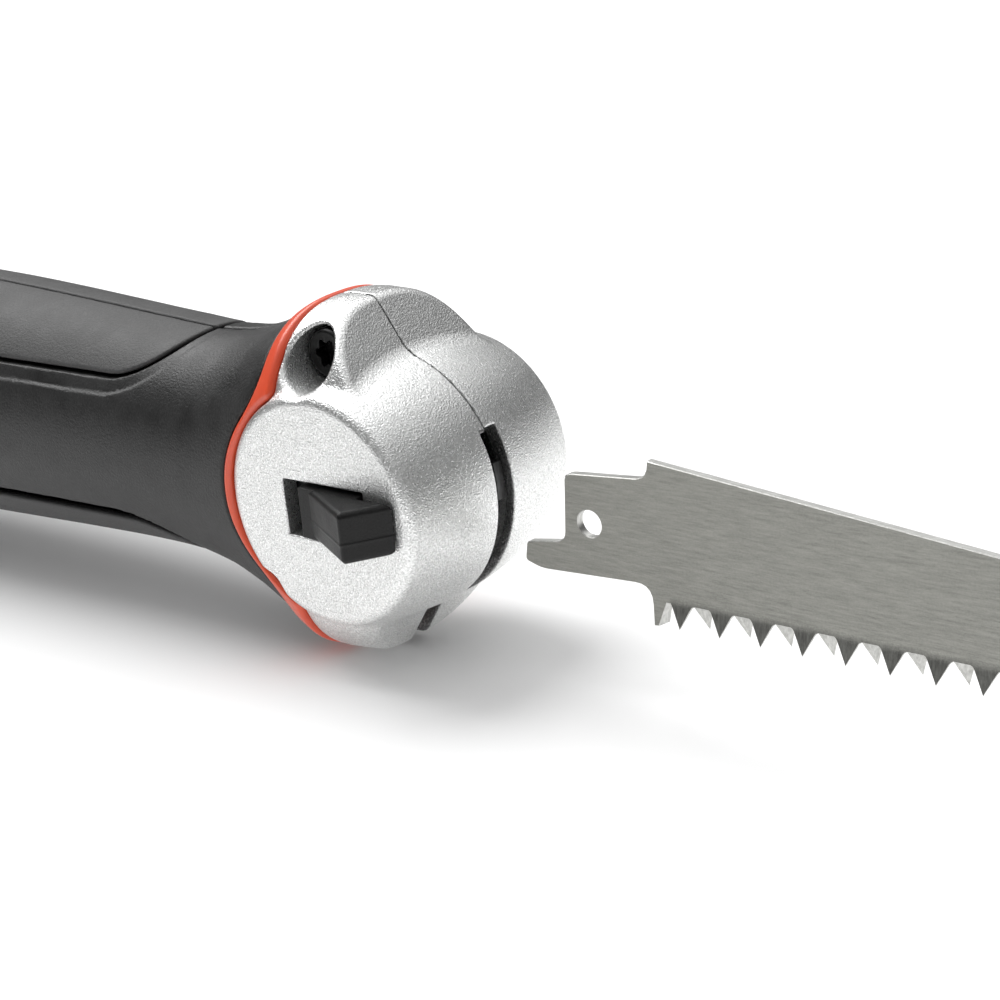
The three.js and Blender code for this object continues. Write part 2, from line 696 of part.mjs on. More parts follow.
place('carrier_cheek_right', cheekBlank(CHEEK_RIGHT_Y), 'darkSteel');
place('carrier_cheek_left', cheekLeft(), 'darkSteel');
place('blade_spacer', bladeSpacer(), 'darkSteel');
place('pivot_bush', ringY(PIVOT_R + GAP, BUSH_R, [CHEEK_RIGHT_Y[0], CHEEK_LEFT_Y[1]]), 'steel');
RIVET_ANGLES.forEach((angle, i) => place(`carrier_rivet_${i + 1}`, rivet(angle), 'steel'));

place('lock_pin', lockPinPiece(), 'steel');
const springY = [PIN_TOP_Y + 2.4 + 0.1, CHEEK_RIGHT_Y[0] - 0.1];
place('lock_pin_spring', spring(2.25, 0.25, 3, springY, lockPin.x, lockPin.z), 'steel');
place('release_slider', sliderPiece(), 'nylon');
place('slider_retainer', sliderRetainer(), 'steel');
place('slider_leaf_spring', sliderLeaf(), 'steel');

const bladeSolid = prismY(bladeShape(), [0, BLADE_Y[1] - BLADE_Y[0]], 10);
place('blade', bladeSolid, 'steel');
saw.children.at(-1).position.set(HOLE.x, BLADE_Y[0], HOLE.z);

place('collar_ring', collarRing(), 'collar');
for (const [side, word] of [[-1, 'right'], [1, 'left']]) {
  place(`handle_shell_${word}`, handleShell(side), 'nylon');
  place(`grip_top_${word}`, gripPad(topPadZone(0), side), 'rubber');
  place(`grip_bottom_${word}`, gripPad(bottomPadZone(0), side), 'rubber');
}
TANG_PINS_X.forEach((x, i) => place(`tang_pin_${i + 1}`, barY(TANG_PIN_R, [-9.5, 9.5], x, 0, 20), 'steel'));
HANDLE_SCREWS_X.forEach((x, i) => place(`handle_screw_${i + 1}`, handleScrew(x), 'blackScrew'));

// Stand the saw on z = 0 with the origin under the middle of its box.
saw.updateMatrixWorld(true);
const bounds = new THREE.Box3().setFromObject(saw, true);
const middle = bounds.getCenter(new THREE.Vector3());
saw.position.set(-middle.x, -middle.y, -bounds.min.z);
saw.updateMatrixWorld(true);

export default saw;
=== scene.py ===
# Looks of a drywall saw with a quick-change swivel head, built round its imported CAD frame.
# Shapes are given in millimetres about the head's pivot axis: x towards the blade's tip,
# z up, and -y the side that carries the release slider.

import json
import math

import bpy
import numpy as np
from mathutils import Matrix, Vector
from mathutils.geometry import tessellate_polygon

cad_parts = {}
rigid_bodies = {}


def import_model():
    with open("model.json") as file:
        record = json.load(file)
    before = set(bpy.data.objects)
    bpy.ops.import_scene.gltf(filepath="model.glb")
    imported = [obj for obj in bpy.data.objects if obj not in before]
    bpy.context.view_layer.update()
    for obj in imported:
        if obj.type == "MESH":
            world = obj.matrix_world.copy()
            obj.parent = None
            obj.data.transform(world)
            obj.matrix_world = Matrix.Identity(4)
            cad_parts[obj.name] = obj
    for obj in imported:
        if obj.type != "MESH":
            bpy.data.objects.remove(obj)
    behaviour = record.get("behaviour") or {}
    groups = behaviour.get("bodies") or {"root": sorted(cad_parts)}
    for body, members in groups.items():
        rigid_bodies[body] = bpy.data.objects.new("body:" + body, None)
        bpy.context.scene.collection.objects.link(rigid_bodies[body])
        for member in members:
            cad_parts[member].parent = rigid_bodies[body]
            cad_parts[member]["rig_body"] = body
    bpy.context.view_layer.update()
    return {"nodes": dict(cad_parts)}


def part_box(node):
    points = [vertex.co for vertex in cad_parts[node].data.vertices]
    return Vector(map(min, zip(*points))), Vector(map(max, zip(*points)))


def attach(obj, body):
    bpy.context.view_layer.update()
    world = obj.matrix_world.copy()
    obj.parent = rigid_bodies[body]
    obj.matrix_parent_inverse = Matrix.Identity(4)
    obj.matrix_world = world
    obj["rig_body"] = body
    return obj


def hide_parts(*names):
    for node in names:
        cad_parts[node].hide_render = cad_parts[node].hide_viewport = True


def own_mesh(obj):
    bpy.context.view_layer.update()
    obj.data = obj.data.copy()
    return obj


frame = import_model()

# ---------------------------------------------------------------- driving dimensions

MM = 0.001
PIVOT_PIN_START = -6.6  # where the pivot pin starts, across the saw
GAP = 0.3

DRUM_R = 16.8
DRUM_CROWN = 0.00983  # radius lost per mm squared away from the middle
DRUM_Y = (-15.36, 16.2)
DRUM_RIM_R = 1.15
SEAM_Y = -0.44
SEAM_GAP = 0.3
SEAM_EDGE = 0.06

# Rows of [x, top, bottom, half width, squareness of the section].
LOBE_STATIONS = (
    (-14, 20.0, -20.0, 14.6, 2.55),
    (-6.5, 22.8, -22.5, 15.5, 2.65),
    (-1.0, 23.1, -22.4, 15.3, 2.65),
    (5.0, 22.9, -21.8, 14.4, 2.55),
)
LOBE_FRONT = (0.832, 0.555, 12.36)  # the sloping front of each lobe, as a plane
LOBE_EDGE = 0.7
LOBE_FILLETS = (0.4, 0.9)  # beside the disc, and across the drum

HANDLE_STATIONS = (
    (-131, 18.0, -18.4, 15.8, 2.2),
    (-120, 17.6, -16.4, 15.8, 2.2),
    (-106, 18.8, -16.0, 16.4, 2.2),
    (-92, 19.5, -15.9, 16.6, 2.2),
    (-78, 19.2, -15.4, 16.3, 2.2),
    (-64, 18.5, -14.9, 15.7, 2.2),
    (-50, 17.6, -14.4, 15.0, 2.2),
    (-38, 16.8, -14.1, 14.6, 2.2),
    (-29, 16.3, -14.3, 14.5, 2.2),
    (-22, 16.8, -15.7, 14.7, 2.2),
    (-16, 18.5, -17.9, 15.1, 2.3),
    (-11, 20.7, -20.3, 15.4, 2.5),
    (-6.5, 22.8, -22.6, 15.8, 2.65),
)
BUTT_X = -138
BUTT_EDGE = 6.0

COLLAR_FRONT = (-6.5, 14.8)  # a plane at x, and round the drum a circle
COLLAR_REAR = (-9.5, 16.1)
COLLAR_REAR_BLEND = 3.0
COLLAR_WALL = 2.3
COLLAR_PROUD = 0.35
PLUG_X = (-20, -4.8)
TANG = ((-47, -12), (-5.2, 5.2), (-7.0, 7.0))
TANG_PINS_X = (-25, -40)
TANG_PIN_R = 1.6
HANDLE_SCREWS_X = (-60, -112)
HANDLE_SCREW_HEAD_R = 3.0
HANDLE_SCREW_HEAD_Y = 11.7
HANDLE_SCREW_SHANK_R = 1.5
HANDLE_SCREW_BORE_R = 1.8
HANDLE_SCREW_BOSS_R = 3.6
HANDLE_SCREW_RECESS_R = 3.3
HANDLE_SCREW_RECESS_Y = 11.4
CAVITY_X = (-126, -53)
CAVITY_WALL = 4.6
PAD_DEPTH = 1.6
PAD_REAR_X = -128
PAD_REAR_ROUND = 8
GROOVE = 0.34

SLOT_HALF_WIDTH = 1.53
SLOT_ANGLES = (-112, 28.7)
SLOT_DEPTH_R = 11.6
SLOT_ROOM_R = 15.4  # the slot widens inside this radius
SLOT_ROOM_HALF_WIDTH = 3.1
POCKET_R = 13.2
POCKET_Y = (-5.0, 4.4)
PIVOT_BORE_R = 2.7
PIVOT_BORE_Y = (-7.4, 9.3)
PLUNGER_Y = 1.2
PLUNGER_BORE_R = 1.8
PLUNGER_BORE_X = (-21.5, -12)
WINDOW = ((-5.28, 7.67), (-30, -11.9), (-3.55, 3.65))
ROOM = ((-9.6, 12.6), (-12.96, -6.4), (-5.6, 5.6))  # behind the window, for the slider's plate
PIN_PATH_R = (5.6, 11.8)
PIN_PATH_ANGLES = (-112, 8)
PIN_PATH_Y = (-10.26, -4)
# Centre in the side view, and where the head lies across the saw.
HEAD_SCREWS = {
    "head_screw_top": ((-2.3, 17.6), (-8.2, -5.4)),
    "head_screw_bottom": ((-11.0, -12.6), (-6.0, -3.2)),
}
RECESS_R = 3.5
SCREW_END_Y = 7.0
HEAD_SCREW_R = 3.1
HEAD_SCREW_SHANK_R = 1.75
HEAD_SCREW_BORE_R = 2.2
HEAD_SCREW_THREAD = (0.9, 0.12)  # pitch and height
HEAD_SCREW_SOCKET = (1.85, 1.3, 1.7)  # radius at the points and between them, and depth

BLADE_Y = (-1.4, -0.3)
HOLE = (30.31, -1.31)  # the CAD blade's hole, from which the outline is given
HOLE_SHIFT = (-0.3, -0.1)  # from there to the hole drawn here
HOLE_R = 1.68
HOLE_CHAMFER = 0.1
BLADE_CHAMFER = 0.09
TOOTH_PITCH = 2.67
TOOTH_COUNT = 53
FIRST_TIP = 11.72  # these three are measured from the CAD hole
TIP_LINE = -11.03
GULLET_LINE = -8.15
TOOTH_SET = 0.4  # how far a tip leans out, to one side and the other by turns
FAR_SHIFT = 0.3  # how far ahead of their place the tips of the far side are
LOCK_PIN_R = 1.3
FLANGE_DEPTH = (1.4, 1.9)  # where the lock pin's flange is, from its outer end

SIDES = (("right", -1), ("left", 1))

pin_low, pin_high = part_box("pivot_pin")
ORIGIN = np.array([
    (pin_low.x + pin_high.x) / 2,
    pin_low.y - PIVOT_PIN_START * MM,
    (pin_low.z + pin_high.z) / 2,
])
COARSE = 1.0

# ---------------------------------------------------------------- fields: solids as signed distances


def round_max(a, b, radius):
    """Where both a and b are negative, with the edge between them rounded."""
    outside = np.hypot(np.maximum(a + radius, 0), np.maximum(b + radius, 0))
    return np.minimum(np.maximum(a, b), -radius) + outside


def round_min(a, b, radius):
    """Where a or b is negative, with a fillet between them."""
    inside = np.hypot(np.maximum(radius - a, 0), np.maximum(radius - b, 0))
    return np.maximum(np.minimum(a, b), radius) - inside


def cut(a, b, radius):
    return round_max(a, -b, radius)


def between(value, limits):
    return np.maximum(limits[0] - value, value - limits[1])


def block(x, y, z, box):
    return np.maximum(np.maximum(between(x, box[0]), between(y, box[1])), between(z, box[2]))


def bar_y(x, y, z, radius, limits, centre=(0, 0)):
    return np.maximum(np.hypot(x - centre[0], z - centre[1]) - radius, between(y, limits))


def sector(x, z, start, end):
    """The side-view wedge between two angles less than a half turn apart."""
    a, b = math.radians(start), math.radians(end)
    after = math.sin(a) * x - math.cos(a) * z
    before = math.cos(b) * z - math.sin(b) * x
    return np.maximum(after, before)


class Loft:
    """A form through superellipse sections along x, as a distance field."""

    def __init__(self, rows, steps=16):
        rows = np.array(rows, float)
        padded = np.vstack([rows[:1], rows, rows[-1:]])
        table = []
        for i in range(1, len(rows)):
            before, start, end, after = padded[i - 1:i + 3]
            for t in np.linspace(0, 1, steps, endpoint=False):
                slope_in, slope_out = (end - before) / 2, (after - start) / 2
                cubic = (2 * start - 2 * end + slope_in + slope_out) * t ** 3
                square = (-3 * start + 3 * end - 2 * slope_in - slope_out) * t ** 2
                row = cubic + square + slope_in * t + start
                row[0] = start[0] + (end[0] - start[0]) * t
                table.append(row)
        self.table = np.array(table + [rows[-1]])

    def __call__(self, x, y, z):
        top, bottom, width, power = (np.interp(x, self.table[:, 0], self.table[:, k]) for k in (1, 2, 3, 4))
        height = (top - bottom) / 2
        v = np.abs(z - (top + bottom) / 2) / height + 1e-9
        u = np.abs(y) / width + 1e-9
        reach = (u ** power + v ** power) ** (1 / power)
        steep = np.hypot((u / reach) ** (power - 1) / width, (v / reach) ** (power - 1) / height)
        return (reach - 1) / steep


lobe_form = Loft(LOBE_STATIONS)
handle_form = Loft(HANDLE_STATIONS)


def front_zone(x, z, edge, grow=0.0, blend=0.8):
    """Everything in front of a collar's edge, which is a plane at x and a circle round the drum."""
    return round_min(edge[0] - x, np.hypot(x, z) - edge[1], blend) - grow


# ---------------------------------------------------------------- head castings


def drum(x, y, z):
    side = (np.hypot(x, z) - (DRUM_R - DRUM_CROWN * y * y)) * 0.97
    return round_max(side, between(y, DRUM_Y), DRUM_RIM_R)


def lobes(x, y, z):
    height = np.abs(z)
    front = LOBE_FRONT[0] * x + LOBE_FRONT[1] * height - LOBE_FRONT[2]
    return np.maximum(round_max(lobe_form(x, y, z), front, LOBE_EDGE), 11 - height)


def head_cuts(x, y, z, slot_top):
    r = np.hypot(x, z)
    wedge = np.maximum(sector(x, z, SLOT_ANGLES[0], slot_top), SLOT_DEPTH_R - r)
    cuts = [
        np.maximum(wedge, np.abs(y) - SLOT_HALF_WIDTH),
        np.maximum(np.maximum(wedge, np.abs(y) - SLOT_ROOM_HALF_WIDTH), r - SLOT_ROOM_R),
        np.maximum(r - POCKET_R, between(y, POCKET_Y)),
        np.maximum(r - PIVOT_BORE_R, between(y, PIVOT_BORE_Y)),
        np.maximum(np.hypot(y - PLUNGER_Y, z) - PLUNGER_BORE_R, between(x, PLUNGER_BORE_X)),
        block(x, y, z, WINDOW),
        block(x, y, z, ROOM),
        np.maximum.reduce([
            sector(x, z, *PIN_PATH_ANGLES), between(r, PIN_PATH_R), between(y, PIN_PATH_Y),
        ]),
    ]
    for centre, head_y in HEAD_SCREWS.values():
        cuts.append(bar_y(x, y, z, HEAD_SCREW_BORE_R, (head_y[0], SCREW_END_Y + GAP), centre))
    cuts.append(screw_recess(x, y, z, "head_screw_bottom"))
    for pin_x in TANG_PINS_X:
        cuts.append(bar_y(x, y, z, TANG_PIN_R + GAP, (-20, 20), (pin_x, 0)))
    return np.minimum.reduce(cuts)


def screw_recess(x, y, z, name):
    centre, head_y = HEAD_SCREWS[name]
    return bar_y(x, y, z, RECESS_R, (-30, head_y[1] + GAP), centre)


def head_half(side):
    """One casting: side is -1 for the half with the slider."""
    slot_top = SLOT_ANGLES[1] - (1.5 if side < 0 else 0)

    def field(x, y, z):
        fillet = np.interp(y, (-13.5, -10), LOBE_FILLETS)
        outer = round_min(drum(x, y, z), lobes(x, y, z), fillet)
        visible = round_max(outer, front_zone(x, z, COLLAR_FRONT, -0.15), 0.4)
        plug = np.maximum(handle_form(x, y, z) + COLLAR_WALL + GAP, between(x, PLUG_X))
        whole = np.minimum(np.minimum(visible, plug), block(x, y, z, TANG))
        whole = cut(whole, head_cuts(x, y, z, slot_top), 0.22)
        whole = cut(whole, screw_recess(x, y, z, "head_screw_top"), 0.8)
        return round_max(whole, side * (SEAM_Y - y) + SEAM_GAP / 2, SEAM_EDGE)

    return field


def screw_star(x, z, outer, inner):
    """A six-pointed driver recess seen from its end."""
    angle = np.arctan2(z, x)
    return np.hypot(x, z) - (outer + inner) / 2 - (outer - inner) / 2 * np.cos(6 * angle)


def head_screw(centre, head_y):
    def field(x, y, z):
        u, v = x - centre[0], z - centre[1]
        r = np.hypot(u, v)
        head = round_max(r - HEAD_SCREW_R, between(y, head_y), 0.5)
        outer, inner, depth = HEAD_SCREW_SOCKET
        socket = np.maximum(screw_star(u, v, outer, inner), y - head_y[0] - depth)
        pitch, height = HEAD_SCREW_THREAD
        thread = height * np.sin(2 * math.pi * (y / pitch) + np.arctan2(v, u))
        shank = np.maximum(r - HEAD_SCREW_SHANK_R - thread, between(y, (head_y[1] - 1, SCREW_END_Y)))
        return np.minimum(cut(head, socket, 0.12), shank)

    return field


# ---------------------------------------------------------------- collar, handle shells and grip pads


def collar(x, y, z):
    band = np.maximum(front_zone(x, z, COLLAR_REAR, 0, COLLAR_REAR_BLEND), -front_zone(x, z, COLLAR_FRONT))
    bead = round_max(handle_form(x, y, z) - COLLAR_PROUD, band, 0.9)
    return np.maximum(bead, -(handle_form(x, y, z) + COLLAR_WALL))


def rear_limit(x, grow=0):
    return PAD_REAR_X - grow - x


def top_edge(x, height):
    """A line at height where x is -40, which rises a little towards the butt."""
    return height + 0.018 * (-40 - x)


def top_pad_zone(x, z, grow):
    low = top_edge(x, 11.6) - z
    front = (x - z + 45.6) / math.sqrt(2)
    return round_max(round_max(low, front, 4), rear_limit(x), PAD_REAR_ROUND) - grow


def top_shelf_zone(x, z):
    """Where the shell is stepped in: the top pads' zone with a margin below and in front."""
    low = top_edge(x, 9.2) - z
    front = (x - z + 43.0) / math.sqrt(2)
    return round_max(round_max(low, front, 5), rear_limit(x, 2), PAD_REAR_ROUND)


def bottom_pad_zone(x, z, grow):
    front = 0.6 * x + 0.8 * z + 27.1
    return round_max(round_max(z + 7.9, front, 2.5), rear_limit(x), PAD_REAR_ROUND) - grow


def shell_skin(x, y, z):
    """The shell's outside: the handle's form, stepped in next to the top pads."""
    inside = -top_shelf_zone(x, z)
    step = np.clip(inside / 0.5, 0, 1)
    depth = 0.3 * step * step * (3 - 2 * step) - 0.08 * np.clip(inside - 0.5, 0, 2)
    depth = depth * np.clip((-26 - x) / 10, 0, 1)
    return round_max(handle_form(x, y, z) + depth, BUTT_X - x, BUTT_EDGE)


def shell_hollow(x, y, z):
    form = handle_form(x, y, z)
    tang_y, tang_z = ((low - GAP, high + GAP) for low, high in TANG[1:])
    socket = block(x, y, z, ((TANG[0][0] - GAP, 0), tang_y, tang_z))
    mouth = np.maximum(form + COLLAR_WALL, PLUG_X[0] - GAP - x)
    cavity = np.maximum(form + CAVITY_WALL, between(x, CAVITY_X))
    for screw_x in HANDLE_SCREWS_X:
        cavity = np.maximum(cavity, HANDLE_SCREW_BOSS_R - np.hypot(x - screw_x, z))
    hollow = np.minimum(np.minimum(socket, mouth), cavity)
    for pin_x in TANG_PINS_X:
        hollow = np.minimum(hollow, bar_y(x, y, z, TANG_PIN_R + GAP, (-9.8, 9.8), (pin_x, 0)))
    for screw_x in HANDLE_SCREWS_X:
        hollow = np.minimum(hollow, bar_y(x, y, z, HANDLE_SCREW_BORE_R, (-10, 20), (screw_x, 0)))
    return hollow


def handle_shell(side):
    def field(x, y, z):
        form = handle_form(x, y, z)
        shell = cut(shell_skin(x, y, z), front_zone(x, z, COLLAR_REAR, 0.12, COLLAR_REAR_BLEND), 0.4)
        for zone in (top_pad_zone(x, z, GROOVE), bottom_pad_zone(x, z, GROOVE + 0.9)):
            shell = cut(shell, np.maximum(zone, -(form + PAD_DEPTH + GAP)), 0.12)
        shell = np.maximum(shell, -shell_hollow(x, y, z))
        for screw_x in HANDLE_SCREWS_X:
            recess = bar_y(x, y, z, HANDLE_SCREW_RECESS_R, (HANDLE_SCREW_RECESS_Y, 30), (screw_x, 0))
            shell = cut(shell, recess, 0.5)
        return round_max(shell, 0.2 - side * y, 0.45)

    return field


def grip_pad(zone, side):
    def field(x, y, z):
        form = handle_form(x, y, z)
        pad = round_max(np.maximum(form, -(form + PAD_DEPTH)), zone(x, z, -0.1), 0.8)
        return round_max(pad, 0.22 - side * y, 0.35)

    return field


def handle_screw(screw_x):
    def field(x, y, z):
        u = x - screw_x
        r = np.hypot(u, z)
        dome = np.hypot(r, y - 8.9) - 4.6
        head = round_max(np.maximum(r - HANDLE_SCREW_HEAD_R, HANDLE_SCREW_HEAD_Y - y), dome, 0.3)

        def arm(along, across):
            """One slot of the cross recess, deepest in the middle."""
            flat = np.maximum(np.abs(along) - 2.0, np.abs(across) - 0.42)
            return np.maximum(flat, 12.3 - y + 0.25 * np.abs(along))

        cross = np.minimum(arm(u, z), arm(z, u))
        shank = np.maximum(r - HANDLE_SCREW_SHANK_R, between(y, (-9.7, 12)))
        return np.minimum(cut(head, cross, 0.1), shank)

    return field


# ---------------------------------------------------------------- release slider


def slider(x, y, z):
    ramp = -0.472 * (x + 1.1) - 0.881 * (y + 15.76)
    nose = 0.837 * (x - 9.2) - 0.547 * (y + 20.75)
    thumb = round_max(ramp, nose, 0.45)
    thumb = round_max(thumb, np.maximum(y + 15.66, -1.4 - x), 0.2)
    thumb = round_max(thumb, between(z, (-3.2, 3.25)), 0.8)
    thumb = thumb - 0.07 * np.exp(-((z + 0.7) / 0.16) ** 2)  # the mould's parting line
    stem = block(x, y, z, ((-2.1, 7.37), (-16.2, -12.4), (-3.2, 3.25)))
    plate = block(x, y, z, ((-6.3, 12.0), (-12.72, -11.3), (-5.0, 5.0)))
    rise = y + 8.9 - np.maximum(0, (x - 9.14) * 0.733)
    cam = np.maximum(np.maximum(rise * 0.8, -11.6 - y), np.maximum(between(x, (4.8, 12)), np.abs(z) - 3))
    return np.minimum(np.minimum(thumb, stem), np.minimum(plate, cam))


# ---------------------------------------------------------------- lock pin


def box_mm(node):
    """A CAD node's box in millimetres about the pivot: its lowest and highest corners."""
    return [(np.array(corner) - ORIGIN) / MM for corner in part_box(node)]


def lock_pin(x, y, z):
    """A flanged pin, which a ramp behind the slider pushes through the blade's hole."""
    low, high = box_mm("lock_pin")
    r = np.hypot(x - (low[0] + high[0]) / 2, z - (low[2] + high[2]) / 2)
    depth = y - low[1]
    flange_r = (high[0] - low[0]) / 2
    cone = np.maximum(r - flange_r + 0.5 + np.maximum(0, 1.3 - depth), between(depth, (0, FLANGE_DEPTH[1])))
    flange = round_max(r - flange_r, between(depth, FLANGE_DEPTH), 0.15)
    shank = round_max(r - LOCK_PIN_R, between(depth, (FLANGE_DEPTH[0], high[1] - low[1])), 0.35)
    return np.minimum(np.minimum(cone, flange), shank)


# ---------------------------------------------------------------- surfaces from fields


BLOCK = 4  # cells along each side of a block


def grid(counts):
    axes = [np.arange(n) for n in counts]
    return np.stack(np.meshgrid(*axes, indexing="ij"), -1).reshape(-1, 3)


def evaluate(field, points):
    return field(points[:, 0], points[:, 1], points[:, 2])


def gradient(field, points, step):
    """The field's slope, from the four corners of a small tetrahedron."""
    total = np.zeros_like(points)
    for corner in np.array([[1, -1, -1], [-1, -1, 1], [-1, 1, -1], [1, 1, 1]], float):
        total += corner * evaluate(field, points + corner * step)[:, None]
    return total / (4 * step)


def band_values(field, low, high, cell):
    """Corner values of the blocks that the surface may pass through."""
    counts = np.ceil((high - low) / (BLOCK * cell)).astype(int)
    blocks = grid(counts)
    centres = low + (blocks + 0.5) * BLOCK * cell
    reach = 1.5 * 0.866 * BLOCK * cell
    blocks = blocks[np.abs(evaluate(field, centres)) < reach]
    corners = (blocks[:, None] * BLOCK + grid([BLOCK + 1] * 3)).reshape(-1, 3)
    size = counts * BLOCK + 1
    code = (corners[:, 0] * size[1] + corners[:, 1]) * size[2] + corners[:, 2]
    unique, back = np.unique(code, return_inverse=True)
    places = np.stack([unique // (size[1] * size[2]), unique // size[2] % size[1], unique % size[2]], -1)
    values = evaluate(field, low + cell * places)
    return blocks, values[back.reshape(-1)].reshape(-1, BLOCK + 1, BLOCK + 1, BLOCK + 1), size


def active_cells(blocks, values):
    """The cells where the field changes sign: their places and their eight corner values."""
    offsets = grid([2, 2, 2])
    parts = [values[:, a:a + BLOCK, b:b + BLOCK, c:c + BLOCK].reshape(-1) for a, b, c in offsets]
    corner_values = np.stack(parts, -1)
    inside = (corner_values < 0).sum(-1)
    cells = (blocks[:, None] * BLOCK + grid([BLOCK] * 3)).reshape(-1, 3)
    active = (inside > 0) & (inside < 8)
    return cells[active], corner_values[active], offsets


def cell_vertices(corner_values, offsets):
    """The mean of the edge crossings in each cell."""
    total = np.zeros((len(corner_values), 3))
    count = np.zeros(len(corner_values))
    for i in range(8):
        for j in range(i + 1, 8):
            if np.abs(offsets[i] - offsets[j]).sum() != 1:
                continue
            a, b = corner_values[:, i], corner_values[:, j]
            crosses = (a < 0) != (b < 0)
            t = np.where(crosses, a / np.where(crosses, a - b, 1), 0)
            place = offsets[i] + (offsets[j] - offsets[i]) * t[:, None]
            total += np.where(crosses[:, None], place, 0)
            count += crosses
    return total / count[:, None]


def surface_net(field, low, high, cell):
    """Vertices, quads and normals of the field's zero surface."""
    cell = cell * COARSE
    low, high = np.array(low, float), np.array(high, float)
    blocks, values, size = band_values(field, low, high, cell)
    cells, corner_values, offsets = active_cells(blocks, values)
    points = low + cell * (cells + cell_vertices(corner_values, offsets))
    code = (cells[:, 0] * size[1] + cells[:, 1]) * size[2] + cells[:, 2]
    order = np.argsort(code)
    steps = [size[1] * size[2], size[2], 1]
    quads = []
    for axis in range(3):
        far_corner = {0: 4, 1: 2, 2: 1}[axis]
        start, end = corner_values[:, 0] < 0, corner_values[:, far_corner] < 0
        owner = np.nonzero(start != end)[0]
        b, c = steps[(axis + 1) % 3], steps[(axis + 2) % 3]
        wanted = code[owner][:, None] - np.array([0, b, b + c, c])
        found = np.minimum(np.searchsorted(code, wanted, sorter=order), len(code) - 1)
        index = order[found]
        complete = (code[index] == wanted).all(1)
        index, leaves = index[complete], start[owner][complete]
        quads.append(np.where(leaves[:, None], index, index[:, ::-1]))
    for _ in range(3):
        slope = gradient(field, points, cell * 0.1)
        value = evaluate(field, points)
        steep = np.maximum((slope ** 2).sum(1), 0.05)
        move = -slope * (value / steep)[:, None]
        points += np.clip(move, -0.5 * cell, 0.5 * cell)
    slope = gradient(field, points, cell * 0.15)
    normals = slope / np.maximum(np.linalg.norm(slope, axis=1), 1e-9)[:, None]
    return points, np.concatenate(quads), normals


def to_row(points):
    return ORIGIN + np.asarray(points, float) * MM


def new_object(name, mesh):
    piece = bpy.data.objects.new(name, mesh)
    bpy.context.scene.collection.objects.link(piece)
    return piece


def dress(piece, node, material):
    """Gives the piece its material and the body of the CAD node that it stands for, and hides that node."""
    piece.data.materials.append(material)
    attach(piece, frame["nodes"][node]["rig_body"])
    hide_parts(node)
    return piece


def carve(node, field, low, high, cell, material):
    """A piece made from a field, in place of a CAD node."""
    points, quads, normals = surface_net(field, low, high, cell)
    mesh = bpy.data.meshes.new(node + "_fine")
    mesh.vertices.add(len(points))
    mesh.vertices.foreach_set("co", to_row(points).ravel())
    mesh.loops.add(quads.size)
    mesh.polygons.add(len(quads))
    mesh.polygons.foreach_set("loop_start", np.arange(0, quads.size, 4))
    mesh.polygons.foreach_set("vertices", quads.ravel())
    mesh.update(calc_edges=True)
    mesh.normals_split_custom_set_from_vertices(normals.tolist())
    return dress(new_object(node + "_fine", mesh), node, material)


# ---------------------------------------------------------------- blade


def back_edge(x):
    return 8.7 - (x - 9.68) * math.tan(math.radians(5.8))


def rounded(points, steps=5):
    """An open line through corners (x, z, radius), with each corner turned into a short curve."""
    line = [points[0][:2]]
    for before, corner, after in zip(points, points[1:], points[2:]):
        radius, corner = corner[2], Vector(corner[:2])
        to_before, to_after = Vector(before[:2]) - corner, Vector(after[:2]) - corner
        reach = min(radius, to_before.length * 0.8, to_after.length * 0.8)
        start = corner + to_before.normalized() * reach
        end = corner + to_after.normalized() * reach
        for k in range(steps + 1):
            t = k / steps
            place = start * (1 - t) ** 2 + corner * 2 * t * (1 - t) + end * t * t
            line.append(tuple(place))
    line.append(points[-1][:2])
    return line


def blade_rings():
    """The outline on each face, near and far: points (x, z, y), with x and z from the CAD hole."""
    tang = rounded([
        (8.4, back_edge(8.4), 0), (8.2, 6.6, 1.7), (-2.9, 5.72, 0.6), (-3.45, 5.2, 0.5), (-4.1, -2.93, 1.3),
        (-9.86, -3.83, 0.5), (-10.31, -6.3, 0.5), (-7.96, -7.0, 1.0), (8.0, -6.25, 2.4), (7.95, -11.33, 0),
    ])
    near = [(x, z, BLADE_Y[0]) for x, z in tang]
    far = [(x, z, BLADE_Y[1]) for x, z in tang]
    near += [(8.6, TIP_LINE - 0.25, BLADE_Y[0]), (9.9, GULLET_LINE, BLADE_Y[0])]
    far += [(9.2, TIP_LINE - 0.1, BLADE_Y[1] + TOOTH_SET), (10.1, GULLET_LINE, BLADE_Y[1])]
    for k in range(TOOTH_COUNT):
        on_near = k % 2 == 0
        tip = FIRST_TIP + TOOTH_PITCH * k + (0 if on_near else FAR_SHIFT)
        left, right = (tip - 1.3, tip + 1.6) if on_near else (tip - 1.2, tip + 0.95)
        outline = (
            (left - 0.05, 0), (left + 0.1, 0.08), (tip, 1), (right - 0.12, 0.08), (right + 0.05, 0),
        )
        for x, deep in outline:
            drop = (TIP_LINE - GULLET_LINE) * deep
            shallow = GULLET_LINE + (0.12 if deep else 0)
            sharp = GULLET_LINE + drop
            lean = TOOTH_SET * deep
            near.append((x, sharp if on_near else shallow, BLADE_Y[0] - (lean if on_near else 0)))
            far.append((x, shallow if on_near else sharp, BLADE_Y[1] + (0 if on_near else lean)))
    end = FIRST_TIP + TOOTH_PITCH * TOOTH_COUNT
    point = rounded([
        (end - 1.0, GULLET_LINE, 0), (end + 6.5, back_edge(end + 6.5) - 1.6, 0.6),
        (end + 5.5, back_edge(end + 5.5), 0.6), (10.5, back_edge(10.5), 0),
    ])
    near += [(x, z, BLADE_Y[0]) for x, z in point]
    far += [(x, z, BLADE_Y[1]) for x, z in point]
    return near, far


